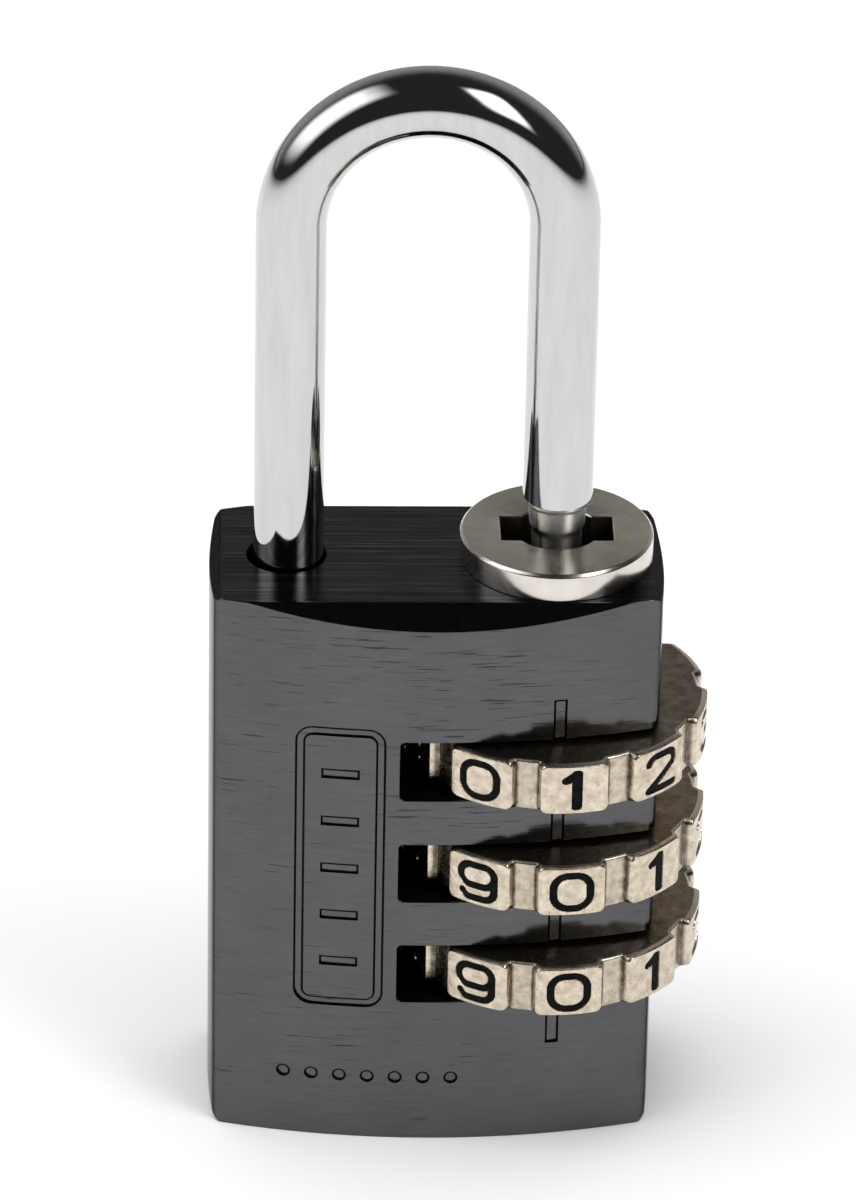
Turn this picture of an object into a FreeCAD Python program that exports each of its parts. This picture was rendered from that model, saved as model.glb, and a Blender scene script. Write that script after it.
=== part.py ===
import FreeCAD, Part

import math
import os
import re

import Sketcher
from FreeCAD import Placement, Rotation, Vector

# A padlock with three number dials on the shackle's long leg. Millimetres.
# Origin: centre of the body's bottom face. +X right, +Y to the back, +Z up along the shackle.

SIZES = [
    # Body: a block with bowed faces, whose front and back run up to a flat crown
    ("body_width", 20.0),
    ("body_height", 27.2),
    ("body_half_depth", 5.34),
    ("face_radius", 35.1),
    ("side_radius", 29.0),
    ("corner_fillet", 0.6),
    ("crown_half_depth", 4.33),
    ("crown_drop", 0.92),
    ("side_bevel", 0.5),
    # Slots for the dials, open to the front, the right and the back
    ("slot_height", 2.92),
    ("slot_pitch", 5.23),
    ("low_slot_mid", 8.73),
    ("slot_edge", 1.57),
    ("slot_cutter_radius", 20.0),
    ("slot_corner", 0.2),
    # Long leg's axis and the bore along it
    ("axis_x", 5.25),
    ("bore_radius", 3.35),
    ("bore_floor", 1.2),
    # Blind hole for the short leg
    ("socket_x", -6.6),
    ("socket_radius", 1.75),
    ("socket_depth", 5.0),
    # Engravings on the front face
    ("engraving_depth", 0.13),
    ("index_x", 5.4),
    ("index_width", 0.6),
    ("index_bottom", 4.86),
    ("index_top", 22.66),
    ("panel_left", -6.2),
    ("panel_width", 4.0),
    ("panel_bottom", 6.9),
    ("panel_height", 14.4),
    ("panel_line", 0.45),
    ("panel_corner", 0.8),
    ("bar_inset", 1.15),
    ("bar_height", 0.5),
    ("bar_count", 5.0),
    ("dimple_row_left", -6.6),
    ("dimple_row_height", 3.25),
    ("dimple_radius", 0.32),
    ("dimple_pitch", 1.25),
    ("dimple_count", 7.0),
    # Dials
    ("dial_radius", 6.9),
    ("dial_height", 2.5),
    ("dial_edge", 0.16),
    ("dial_bore", 2.975),
    ("grip_groove_depth", 0.38),
    ("grip_groove_angle", 9.0),
    ("dial_turn", 6.5),
    ("notch_radius", 3.35),
    ("notch_width", 1.1),
    ("notch_floor", 0.45),
    ("relief_radius", 3.45),
    # Digits cut into the dials' ten pads and filled with paint
    ("digit_height", 2.0),
    ("digit_stroke", 0.34),
    ("digit_depth", 0.2),
    ("paint_recess", 0.06),
    ("paint_gap", 0.01),
    # Bush
    ("flange_radius", 4.26),
    ("flange_height", 1.3),
    ("flange_chamfer", 0.25),
    ("spigot_radius", 3.335),
    ("spigot_end", 20.54),
    ("bush_chamber_radius", 2.6),
    ("bush_chamber_top", 25.9),
    ("key_round_radius", 1.875),
    ("key_radius", 2.475),
    ("key_width", 2.15),
    ("pin_radius", 0.65),
    ("pin_height", 24.0),
    ("pin_tip", 2.8),
    ("pin_inset", 0.6),
    # Clutches, measured from the middle of their dial
    ("clutch_radius", 2.9),
    ("clutch_bottom", -3.9),
    ("clutch_top", 1.3),
    ("clutch_web_bottom", 0.4),
    ("clutch_chamber_radius", 2.5),
    ("clutch_round_radius", 1.3),
    ("collar_radius", 3.3),
    ("collar_bottom", -2.9),
    ("collar_top", -1.55),
    ("tab_radius", 3.25),
    ("tab_width", 0.9),
    ("tab_bottom", 0.5),
    ("tab_top", 1.2),
    # Washer and spring under the clutches
    ("washer_bottom", 4.4),
    ("washer_top", 4.8),
    ("washer_radius", 3.25),
    ("washer_bore", 2.5),
    ("clutch_coil_radius", 2.95),
    ("clutch_coil_turns", 3.5),
    ("wire_radius", 0.175),
    ("spring_gap", 0.02),
    # Shackle
    ("rod_radius", 1.55),
    ("short_leg_x", -6.51),
    ("bow_top", 49.26),
    ("short_leg_end", 23.9),
    ("leg_end_chamfer", 0.3),
    ("shoulder_top", 30.07),
    ("shoulder_bottom", 29.27),
    ("stem_radius", 1.1),
    ("stem_end", 4.12),
    ("tip_radius", 0.8),
    ("tip_end", 3.42),
    ("rivet_radius", 1.15),
    ("rivet_top", 3.66),
    ("lug_width", 1.9),
    ("lug_radius", 2.3),
    ("lug_bottom", -1.85),
    ("lug_top", -0.75),
    # Clip, cup and spring on the stem
    ("clip_radius", 2.4),
    ("clip_bottom", 21.35),
    ("clip_height", 0.5),
    ("clip_groove_radius", 0.85),
    ("clip_groove_gap", 0.03),
    ("clip_mouth", 1.4),
    ("cup_radius", 2.2),
    ("cup_bore", 0.85),
    ("cup_bottom", 3.7),
    ("cup_height", 0.4),
    ("shackle_coil_radius", 1.75),
    ("shackle_coil_turns", 3.5),
    # Detent
    ("detent_x", -2.35),
    ("detent_y", -0.74),
    ("detent_bore", 0.8),
    ("detent_top", 22.5),
    ("leaf_x", -2.72),
    ("leaf_width", 0.62),
    ("leaf_thickness", 0.2),
    ("leaf_reach", 1.3),
    ("leaf_bottom", 2.0),
    ("leaf_top", 22.3),
    ("wave_foot", 1.22),
    ("wave_crest", 0.31),
    ("plug_height", 1.6),
    ("plug_gap", 0.01),
]

# Name, number of its slot from below, digit in front
DIALS = [("top", 2, 1), ("middle", 1, 0), ("bottom", 0, 0)]
DIGIT_COUNT = 10
PAD_ANGLE = 360.0 / DIGIT_COUNT
# How far cutting shapes run past what they cut
OUTER_MARGIN = 1.0
# How nearly an edge's direction must match an axis to count as along it
ALONG = 0.99
# Sketcher's number for the origin, and its numbers for a curve's start, end and centre
ORIGIN, START, END, CENTRE = -1, 1, 2, 3
FINISHED = []

doc = FreeCAD.newDocument("padlock")
sheet = doc.addObject("Spreadsheet::Sheet", "Sizes")
for row, (alias, value) in enumerate(SIZES, start=1):
    sheet.set("A%d" % row, alias.replace("_", " "))
    sheet.set("B%d" % row, str(value))
    sheet.setAlias("B%d" % row, alias)
doc.recompute()


def size(text):
    """Value of an expression in which each word is a cell of the sheet."""
    return float(sheet.evalExpression(text))


def bind(item, prop, text):
    """Ties a property to an expression written in the sheet's words."""
    aliases = {alias for alias, _ in SIZES}
    parts = re.split("([a-z_]+)", text)
    linked = ["Sizes." + part if part in aliases else part for part in parts]
    item.setExpression(prop, "".join(linked))


def keep(item, label):
    """Names a finished sub-part."""
    item.Label = label
    FINISHED.append(item)
    return item


# ---------------------------------------------------------------- sketches and features

def new_body(name):
    return doc.addObject("PartDesign::Body", name)


def new_sketch(body, plane, lift="0"):
    """Empty sketch on one of the body's own planes, moved along the plane's normal."""
    sketch = body.newObject("Sketcher::SketchObject", body.Name + "_" + plane.lower())
    role = plane + "_Plane"
    sketch.AttachmentSupport = [(f, "") for f in body.Origin.OriginFeatures if f.Role == role]
    sketch.MapMode = "FlatFace"
    bind(sketch, "AttachmentOffset.Base.z", lift)
    return sketch


def hold(sketch, text, kind, *where):
    """Adds a dimension whose value is tied to the sheet."""
    index = sketch.addConstraint(Sketcher.Constraint(kind, *where, size(text)))
    bind(sketch, "Constraints[%d]" % index, text)


def hold_point(sketch, geometry, point, x, y):
    """Holds a point of the geometry at its distances from the sketch's origin."""
    hold(sketch, x, "DistanceX", ORIGIN, START, geometry, point)
    hold(sketch, y, "DistanceY", ORIGIN, START, geometry, point)


def add_circle(sketch, centre_x, centre_y, radius):
    """Circle with its centre and radius tied to the sheet."""
    centre = Vector(size(centre_x), size(centre_y), 0)
    index = sketch.addGeometry(Part.Circle(centre, Vector(0, 0, 1), size(radius)))
    hold_point(sketch, index, CENTRE, centre_x, centre_y)
    hold(sketch, radius, "Radius", index)


def add_outline(sketch, corners, arcs=None):
    """Closed outline through corners; arcs maps a side's number to (radius, +1 left or -1 right).

    The arc's centre lies to the left or right of the way from the side's first corner to the next.
    """
    arcs = arcs or {}
    points = [Vector(size(x), size(y), 0) for x, y in corners]
    ends = []
    for side, start in enumerate(points):
        finish = points[(side + 1) % len(points)]
        if side in arcs:
            radius, hand = arcs[side]
            curve = arc_between(start, finish, size(radius), hand)
            index = sketch.addGeometry(curve)
            hold(sketch, radius, "Radius", index)
            ends.append((index, START, END) if hand > 0 else (index, END, START))
        else:
            ends.append((sketch.addGeometry(Part.LineSegment(start, finish)), START, END))
    for side, (index, first, _) in enumerate(ends):
        before, _, last = ends[side - 1]
        sketch.addConstraint(Sketcher.Constraint("Coincident", before, last, index, first))
        hold_point(sketch, index, first, *corners[side])


def arc_between(start, finish, radius, hand):
    """The shorter arc between two points, with its centre on the stated hand."""
    half = (finish - start) * 0.5
    rise = math.sqrt(max(radius ** 2 - half.Length ** 2, 0.0))
    left = Vector(-half.y, half.x, 0).normalize()
    centre = start + half + left * rise * hand
    angles = [math.atan2(p.y - centre.y, p.x - centre.x) for p in (start, finish)]
    if hand < 0:
        angles.reverse()
    if angles[1] < angles[0]:
        angles[1] += 2 * math.pi
    circle = Part.Circle(centre, Vector(0, 0, 1), radius)
    return Part.ArcOfCircle(circle, angles[0], angles[1])


def add_rectangle(sketch, left, bottom, right, top):
    add_outline(sketch, [(left, bottom), (right, bottom), (right, top), (left, top)])


def pad(body, sketch, length):
    feature = body.newObject("PartDesign::Pad", body.Name + "_pad")
    feature.Profile = sketch
    bind(feature, "Length", length)
    doc.recompute()


def pocket(body, sketch, length=None, upward=False, both_ways=False):
    """Cut from a sketch, against its normal, along it (upward) or both ways.

    With no length it goes through everything.
    """
    before = body.Shape.Volume
    feature = body.newObject("PartDesign::Pocket", body.Name + "_pocket")
    feature.Profile = sketch
    if both_ways:
        feature.SideType = "Symmetric"
    feature.Reversed = upward
    if length:
        bind(feature, "Length", length)
    else:
        feature.Type = "ThroughAll"
    doc.recompute()
    if feature.Shape.Volume >= before:
        raise ValueError("pocket cut nothing: " + feature.Name)
    return feature


def revolve(body, sketch):
    """Turn of a sketch on XZ about the line X = 0."""
    feature = body.newObject("PartDesign::Revolution", body.Name + "_turned")
    feature.Profile = sketch
    feature.ReferenceAxis = (sketch, ["V_Axis"])
    feature.Angle = 360
    doc.recompute()


def repeat_round(body, feature, count):
    """Copies a feature evenly about the body's Z axis."""
    pattern = body.newObject("PartDesign::PolarPattern", body.Name + "_ring")
    pattern.Originals = [feature]
    pattern.Axis = (next(f for f in body.Origin.OriginFeatures if f.Role == "Z_Axis"), [""])
    pattern.Angle = 360
    pattern.Occurrences = count
    body.Tip = pattern
    doc.recompute()


def treat_edges(body, kind, amount, wanted):
    """Fillet or chamfer on the edges of the body's last feature that pass the test."""
    base = body.Tip
    names = ["Edge%d" % (n + 1) for n, edge in enumerate(base.Shape.Edges) if wanted(edge)]
    if not names:
        raise ValueError("no edges found on " + body.Name)
    feature = body.newObject("PartDesign::" + kind, body.Name + "_" + kind.lower())
    feature.Base = (base, names)
    bind(feature, "Radius" if kind == "Fillet" else "Size", amount)
    doc.recompute()


# ---------------------------------------------------------------- primitives and booleans

def boolean(kind, name, *shapes):
    """Cut of the first by the second, or Fuse or Common of two or more."""
    if kind == "Cut":
        result = doc.addObject("Part::Cut", name)
        result.Base, result.Tool = shapes
    else:
        result = doc.addObject("Part::Multi" + kind, name)
        result.Shapes = list(shapes)
    return result


def cylinder(name, radius, height, x="0", y="0", z="0"):
    item = doc.addObject("Part::Cylinder", name)
    bind(item, "Radius", radius)
    bind(item, "Height", height)
    place(item, x, y, z)
    return item


def box(name, length, width, height, x="0", y="0", z="0"):
    """Box with its low corner at the point given."""
    item = doc.addObject("Part::Box", name)
    bind(item, "Length", length)
    bind(item, "Width", width)
    bind(item, "Height", height)
    place(item, x, y, z)
    return item


def place(item, x, y, z):
    for axis, text in zip("xyz", (x, y, z)):
        bind(item, "Placement.Base." + axis, text)


def tube(name, outer, inner, height, x="0", y="0", z="0"):
    return boolean("Cut", name,
                   cylinder(name + "_outside", outer, height, x, y, z),
                   cylinder(name + "_inside", inner, height, x, y, z))


# ---------------------------------------------------------------- body

def front_slab(name, left, bottom, width, height):
    """Block that runs into the front face from outside it, seen as a rectangle from the front."""
    return box(name, width, "body_half_depth", height,
               left, "-body_half_depth - %g" % OUTER_MARGIN, bottom)


def rounded_panel(name, inset):
    """Front slab for the panel, inset all round, with its upright corners rounded."""
    block = front_slab(name + "_block", "panel_left + " + inset, "panel_bottom + " + inset,
                       "panel_width - 2 * " + inset, "panel_height - 2 * " + inset)
    rounded = doc.addObject("Part::Fillet", name)
    rounded.Base = block
    doc.recompute()
    radius = size("panel_corner - " + inset)
    rounded.Edges = [(number, radius, radius) for number, edge in enumerate(block.Shape.Edges, 1)
                     if abs(edge.tangentAt(edge.FirstParameter).y) > ALONG]
    return rounded


def make_front_engravings():
    """Index line, a plain panel of bars and a row of dimples, all cut to one depth below the face."""
    marks = [front_slab("index_line", "index_x - index_width / 2", "index_bottom",
                        "index_width", "index_top - index_bottom"),
             boolean("Cut", "panel_frame", rounded_panel("panel_rim", "0"),
                     rounded_panel("panel_field", "panel_line"))]
    bars = int(size("bar_count"))
    for number in range(bars):
        middle = ("panel_bottom + bar_inset + (panel_height - 2 * bar_inset) * %g"
                  % ((number + 0.5) / bars))
        marks.append(front_slab("bar_%d" % number, "panel_left + bar_inset",
                                middle + " - bar_height / 2",
                                "panel_width - 2 * bar_inset", "bar_height"))
    for number in range(int(size("dimple_count"))):
        dimple = cylinder("dimple_%d" % number, "dimple_radius", "body_half_depth",
                          "dimple_row_left + %d * dimple_pitch" % number,
                          "-body_half_depth - %g" % OUTER_MARGIN, "dimple_row_height")
        dimple.Placement.Rotation = Rotation(Vector(1, 0, 0), -90)
        marks.append(dimple)
    skin = tube("face_skin", "face_radius + %g" % OUTER_MARGIN, "face_radius - engraving_depth",
                "body_height", "0", "face_radius - body_half_depth")
    return boolean("Common", "front_engravings", boolean("Fuse", "front_marks", *marks), skin)


def add_bowed_plan(sketch):
    """Four arcs: front and back about points on Y, left and right about points on X."""
    face_centre = size("face_radius - body_half_depth")
    side_centre = size("side_radius - body_width / 2")
    corner = meeting_corner(face_centre, side_centre)
    sides = [
        ("0", "face_radius - body_half_depth", "face_radius", (-1, -1), (1, -1)),
        ("body_width / 2 - side_radius", "0", "side_radius", (1, -1), (1, 1)),
        ("0", "body_half_depth - face_radius", "face_radius", (1, 1), (-1, 1)),
        ("side_radius - body_width / 2", "0", "side_radius", (-1, 1), (-1, -1)),
    ]
    arcs = []
    for centre_x, centre_y, radius, start, finish in sides:
        ends = [Vector(corner.x * sx, corner.y * sy, 0) for sx, sy in (start, finish)]
        index = sketch.addGeometry(arc_between(ends[0], ends[1], size(radius), 1))
        hold_point(sketch, index, CENTRE, centre_x, centre_y)
        hold(sketch, radius, "Radius", index)
        arcs.append(index)
    for number, index in enumerate(arcs):
        sketch.addConstraint(Sketcher.Constraint("Coincident", arcs[number - 1], END, index, START))


def meeting_corner(face_centre, side_centre):
    """Where the front arc meets the right arc, as positive X and Y.

    Each pass puts the last X on the front arc and the Y found on the right arc, which settles fast.
    """
    x = size("body_width / 2")
    passes = 40
    for _ in range(passes):
        y = math.sqrt(size("face_radius") ** 2 - x ** 2) - face_centre
        x = math.sqrt(size("side_radius") ** 2 - y ** 2) - side_centre
    return Vector(x, y, 0)


def cut_body_edges(body):
    """Sloping front and back of the crown, and the small bevels at the left and right ends."""
    run = "(body_half_depth - crown_half_depth)"
    far = "(body_half_depth + %g)" % OUTER_MARGIN
    drop = "crown_drop * (%s - crown_half_depth) / %s" % (far, run)
    for sign in ("", "-"):
        sketch = new_sketch(body, "YZ")
        corners = [(sign + "crown_half_depth", "body_height"),
                   (sign + far, "body_height - " + drop),
                   (sign + far, "body_height")]
        add_outline(sketch, corners)
        pocket(body, sketch, both_ways=True)
    for sign in ("", "-"):
        near_x = sign + "(body_width / 2 - side_bevel)"
        far_x = sign + "(body_width / 2 + side_bevel)"
        for base, way in (("0", "+"), ("body_height", "-")):
            sketch = new_sketch(body, "XZ")
            far_z = "%s %s 2 * side_bevel" % (base, way)
            add_outline(sketch, [(near_x, base), (far_x, base), (far_x, far_z)])
            pocket(body, sketch, both_ways=True)


def cut_slots(body):
    """Three slots whose closed end is the arc that a round cutter leaves."""
    far_y = "(body_half_depth + %g)" % OUTER_MARGIN
    cutter_axis = "-slot_edge + sqrt(slot_cutter_radius^2 - body_half_depth^2)"
    end_x = "%s - sqrt(slot_cutter_radius^2 - %s^2)" % (cutter_axis, far_y)
    corners = [(end_x, "-" + far_y), ("body_width", "-" + far_y),
               ("body_width", far_y), (end_x, far_y)]
    for number in range(len(DIALS)):
        sketch = new_sketch(body, "XY", slot_middle(number) + " - slot_height / 2")
        add_outline(sketch, corners, {3: ("slot_cutter_radius", 1)})
        pocket(body, sketch, "slot_height", upward=True)


def slot_middle(number):
    """Height of the middle of a slot, counted from the lowest."""
    return "low_slot_mid + %d * slot_pitch" % number


def bore_hole(body, x, y, radius, start, depth, upward=False):
    """Round hole along Z from a height, down or upward."""
    sketch = new_sketch(body, "XY", start)
    add_circle(sketch, x, y, radius)
    pocket(body, sketch, depth, upward)


def make_lock_body():
    body = new_body("lock_body_blank")
    plan = new_sketch(body, "XY")
    add_bowed_plan(plan)
    pad(body, plan, "body_height")
    treat_edges(body, "Fillet", "corner_fillet",
                lambda edge: abs(edge.tangentAt(edge.FirstParameter).z) > ALONG)
    cut_body_edges(body)
    cut_slots(body)
    treat_edges(body, "Fillet", "slot_corner", is_slot_corner)
    bore_hole(body, "axis_x", "0", "bore_radius", "body_height", "body_height - bore_floor")
    bore_hole(body, "socket_x", "0", "socket_radius", "body_height", "socket_depth")
    bore_hole(body, "detent_x", "detent_y", "detent_bore", "0", "detent_top", upward=True)
    pin_hole = new_sketch(body, "XZ")
    add_circle(pin_hole, "axis_x", "pin_height", "pin_radius")
    pocket(body, pin_hole)
    keep(boolean("Cut", "lock_body", body, make_front_engravings()), "lock_body")


def is_slot_corner(edge):
    """The arcs at the closed end of a slot, along its floor and its roof."""
    extent = edge.BoundBox
    left_end = -size("slot_edge + slot_cutter_radius - sqrt(slot_cutter_radius^2 - body_half_depth^2)")
    across = extent.YLength > size("body_half_depth")
    at_end = left_end - OUTER_MARGIN < extent.XMin and extent.XMax < 0
    low = size("low_slot_mid - slot_height")
    return across and at_end and low < extent.ZMin < size("crown_drop + index_top")


# ---------------------------------------------------------------- bush and its pin

def add_keyhole(sketch, round_radius):
    """Round hole with a notch each way along X, whose ends are arcs about the same centre."""
    half = "key_width / 2"
    root = "sqrt(%s^2 - (%s)^2)" % (round_radius, half)
    end = "sqrt(key_radius^2 - (%s)^2)" % half
    corners = [("-(%s)" % root, "-(%s)" % half), (root, "-(%s)" % half),
               (end, "-(%s)" % half), (end, half),
               (root, half), ("-(%s)" % root, half),
               ("-(%s)" % end, half), ("-(%s)" % end, "-(%s)" % half)]
    arcs = {0: (round_radius, 1), 2: ("key_radius", 1), 4: (round_radius, 1), 6: ("key_radius", 1)}
    add_outline(sketch, corners, arcs)


def make_top_bush():
    body = new_body("top_bush")
    top = "body_height + flange_height"
    profile = new_sketch(body, "XZ")
    add_outline(profile, [("0", "spigot_end"), ("spigot_radius", "spigot_end"),
                          ("spigot_radius", "body_height"), ("flange_radius", "body_height"),
                          ("flange_radius", top + " - flange_chamfer"),
                          ("flange_radius - flange_chamfer", top), ("0", top)])
    revolve(body, profile)
    bore_hole(body, "0", "0", "bush_chamber_radius", "spigot_end",
              "bush_chamber_top - spigot_end", upward=True)
    keyhole = new_sketch(body, "XY", top)
    add_keyhole(keyhole, "key_round_radius")
    pocket(body, keyhole)
    pin_hole = new_sketch(body, "XZ")
    add_circle(pin_hole, "0", "pin_height", "pin_radius")
    pocket(body, pin_hole)
    place(body, "axis_x", "0", "0")
    keep(body, "top_bush")


def make_bush_pin():
    """Pin driven in from the back, a little below the surface, ending inside the spigot's wall."""
    tail = "(body_half_depth - pin_inset)"
    pin = cylinder("bush_pin", "pin_radius", tail + " - pin_tip", "axis_x", tail, "pin_height")
    pin.Placement.Rotation = Rotation(Vector(1, 0, 0), 90)
    keep(pin, "bush_pin")


# ---------------------------------------------------------------- dials and digits

def stroke_line(x1, z1, x2, z2):
    return ("line", x1, z1, x2, z2)


def stroke_arc(x, z, radius, start, sweep):
    return ("arc", x, z, radius, start, sweep)


def rounded_loop(x, z, wide, high, radius):
    """Closed oval or rounded square, from its centre line's half width, half height and corner radius."""
    side, rise = wide - radius, high - radius
    corners = ((1, 1), (-1, 1), (-1, -1), (1, -1))
    strokes = [stroke_arc(x + across * side, z + along * rise, radius, 90 * turn, 90)
               for turn, (across, along) in enumerate(corners)]
    if side > 0:
        strokes += [stroke_line(x - side, z + edge, x + side, z + edge) for edge in (-high, high)]
    if rise > 0:
        strokes += [stroke_line(x + edge, z - rise, x + edge, z + rise) for edge in (-wide, wide)]
    return strokes


# Each digit's strokes as centre lines, with the half height of the digit's centre line as 1
DIGITS = {
    0: rounded_loop(0, 0, 1, 1, 0.8),
    1: [stroke_line(0.02, -1, 0.02, 1), stroke_line(0.18, -1, 0.18, 1),
        stroke_line(0.1, 1, -0.5, 0.58), stroke_line(0.1, 0.75, -0.5, 0.58)],
    2: [stroke_arc(-0.35, 0.4, 0.6, 90, 70), stroke_line(-0.35, 1, 0.45, 1),
        stroke_arc(0.45, 0.55, 0.45, -50, 140), stroke_line(0.74, 0.21, -0.9, -1),
        stroke_line(-0.9, -1, 0.95, -1)],
    3: [stroke_arc(-0.4, 0.55, 0.45, 90, 70), stroke_line(-0.4, 1, 0.45, 1),
        stroke_arc(0.45, 0.5, 0.5, -90, 180), stroke_line(-0.2, 0, 0.45, 0),
        stroke_arc(0.45, -0.5, 0.5, -90, 180), stroke_line(-0.4, -1, 0.45, -1),
        stroke_arc(-0.4, -0.55, 0.45, 200, 70)],
    4: [stroke_line(0.45, -1, 0.45, 1), stroke_line(0.45, 1, -0.95, -0.4),
        stroke_line(-0.95, -0.4, 0.95, -0.4)],
    5: [stroke_line(0.85, 1, -0.75, 1), stroke_line(-0.75, 1, -0.85, 0.15),
        stroke_line(-0.85, 0.15, 0.42, 0.15), stroke_arc(0.42, -0.425, 0.575, -90, 180),
        stroke_line(0.42, -1, -0.45, -1), stroke_arc(-0.45, -0.55, 0.45, 200, 70)],
    6: rounded_loop(0, -0.38, 1, 0.62, 0.62)
    + [stroke_line(-1, -0.38, -1, 0.45), stroke_arc(-0.45, 0.45, 0.55, 90, 90),
       stroke_line(-0.45, 1, 0.45, 1), stroke_arc(0.45, 0.55, 0.45, 20, 70)],
    7: [stroke_line(-0.9, 1, 0.9, 1), stroke_line(0.9, 1, -0.25, -1)],
    8: rounded_loop(0, 0.52, 0.85, 0.48, 0.48) + rounded_loop(0, -0.48, 1, 0.52, 0.52),
    9: rounded_loop(0, 0.38, 1, 0.62, 0.62)
    + [stroke_line(1, 0.38, 1, -0.45), stroke_arc(0.45, -0.45, 0.55, -90, 90),
       stroke_line(0.45, -1, -0.45, -1), stroke_arc(-0.45, -0.55, 0.45, 200, 70)],
}


def stroke_solid(kind, values, stroke, thick):
    """One stroke as a plate on the XY plane, with round ends."""
    up = Vector(0, 0, 1)
    if kind == "line":
        x1, y1, x2, y2 = values
        bar = Part.makeBox(math.hypot(x2 - x1, y2 - y1), stroke, thick, Vector(0, -stroke / 2, 0))
        slope = math.degrees(math.atan2(y2 - y1, x2 - x1))
        bar.Placement = Placement(Vector(x1, y1, 0), Rotation(up, slope))
        ends = [(x1, y1), (x2, y2)]
    else:
        x, y, radius, start, sweep = values
        bar = Part.makeCylinder(radius + stroke / 2, thick, Vector(), up, sweep)
        bar = bar.cut(Part.makeCylinder(radius - stroke / 2, thick))
        bar.Placement = Placement(Vector(x, y, 0), Rotation(up, start))
        turns = [math.radians(start + part) for part in (0, sweep)]
        ends = [(x + radius * math.cos(turn), y + radius * math.sin(turn)) for turn in turns]
        if sweep >= 360:
            ends = []
    caps = [Part.makeCylinder(stroke / 2, thick, Vector(x, y, 0)) for x, y in ends]
    return bar.fuse(caps) if caps else bar


def digit_solid(digit, stroke, inner, outer):
    """One digit standing on the front of a dial, between two radii of the dial."""
    scale = size("digit_height - digit_stroke") / 2
    thick = 2 * OUTER_MARGIN
    plates = []
    for kind, *values in DIGITS[digit]:
        lengths = 4 if kind == "line" else 3
        values = [value * scale for value in values[:lengths]] + values[lengths:]
        plates.append(stroke_solid(kind, values, stroke, thick))
    plate = plates[0].fuse(plates[1:]).removeSplitter() if len(plates) > 1 else plates[0]
    front = Vector(0, -size("dial_radius") + OUTER_MARGIN, 0)
    plate.Placement = Placement(front, Rotation(Vector(1, 0, 0), 90))
    height = size("dial_height")
    ring = Part.makeCylinder(outer, height, Vector(0, 0, -height / 2))
    ring = ring.cut(Part.makeCylinder(inner, height, Vector(0, 0, -height / 2)))
    return plate.common(ring)


def digits_round_dial(stroke, inner, outer):
    """All ten digits, 0 in front, numbers rising to the right."""
    solids = []
    for digit in range(DIGIT_COUNT):
        solid = digit_solid(digit, stroke, inner, outer)
        solid.rotate(Vector(), Vector(0, 0, 1), digit * PAD_ANGLE)
        solids += solid.Solids
    return Part.makeCompound(solids)


def make_dial_blank():
    """Disc with ten grip grooves, and ten notches inside for the clutch's tabs.

    A pad's middle faces the front. The notches are turned back by dial_turn.
    """
    body = new_body("dial_blank")
    half = "dial_height / 2"
    disc = new_sketch(body, "XY", "-" + half)
    add_circle(disc, "0", "0", "dial_radius")
    pad(body, disc, "dial_height")
    treat_edges(body, "Chamfer", "dial_edge", lambda edge: edge.Length > size("dial_radius * 2"))
    bore_hole(body, "0", "0", "dial_bore", half, "dial_height")
    bore_hole(body, "0", "0", "relief_radius", "-" + half, half + " + notch_floor", upward=True)
    notch = new_sketch(body, "XY", "notch_floor")
    notch.AttachmentOffset = Placement(Vector(), Rotation(Vector(0, 0, 1), 1))
    bind(notch, "AttachmentOffset.Rotation.Angle", "-dial_turn")
    add_rectangle(notch, "0", "-notch_width / 2",
                  "sqrt(notch_radius^2 - notch_width^2 / 4)", "notch_width / 2")
    cut = pocket(body, notch, half + " - notch_floor", upward=True)
    repeat_round(body, cut, DIGIT_COUNT)
    groove = new_sketch(body, "XY", "-" + half)
    half_angle = "grip_groove_angle / 2"
    side = "(dial_radius * sin(%s * 1 deg))" % half_angle
    floor = "(dial_radius - grip_groove_depth)"
    add_rectangle(groove, floor, "-" + side, "dial_radius + grip_groove_depth", side)
    cut = pocket(body, groove, "dial_height", upward=True)
    repeat_round(body, cut, DIGIT_COUNT)
    return body


def turned_copy(name, shape, turn, x="0", z="0"):
    """Copy of a shape turned about Z and moved."""
    item = doc.addObject("Part::Feature", name)
    item.Shape = shape.copy()
    item.Placement = Placement(Vector(size(x), 0, size(z)), Rotation(Vector(0, 0, 1), turn))
    return item


def make_dials():
    """Dials in their slots: the pads stand dial_turn past the front, the notches face it squarely."""
    blank = make_dial_blank()
    stroke = size("digit_stroke")
    radius = size("dial_radius")
    gap = size("paint_gap")
    floor = radius - size("digit_depth")
    cutters = digits_round_dial(stroke, floor, radius + OUTER_MARGIN / 2)
    paint = digits_round_dial(stroke - 2 * gap, floor + gap, radius - size("paint_recess"))
    for name, slot, front_digit in DIALS:
        turn = size("dial_turn") - front_digit * PAD_ANGLE
        dial = boolean("Cut", "dial_" + name, turned_copy("dial_blank_" + name, blank.Shape, turn),
                       turned_copy("digit_cutters_" + name, cutters, turn))
        place(dial, "axis_x", "0", slot_middle(slot))
        keep(dial, "dial_" + name)
        keep(turned_copy("numerals_" + name, paint, turn, "axis_x", slot_middle(slot)),
             "numerals_" + name)


# ---------------------------------------------------------------- clutches, washer and springs

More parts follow.
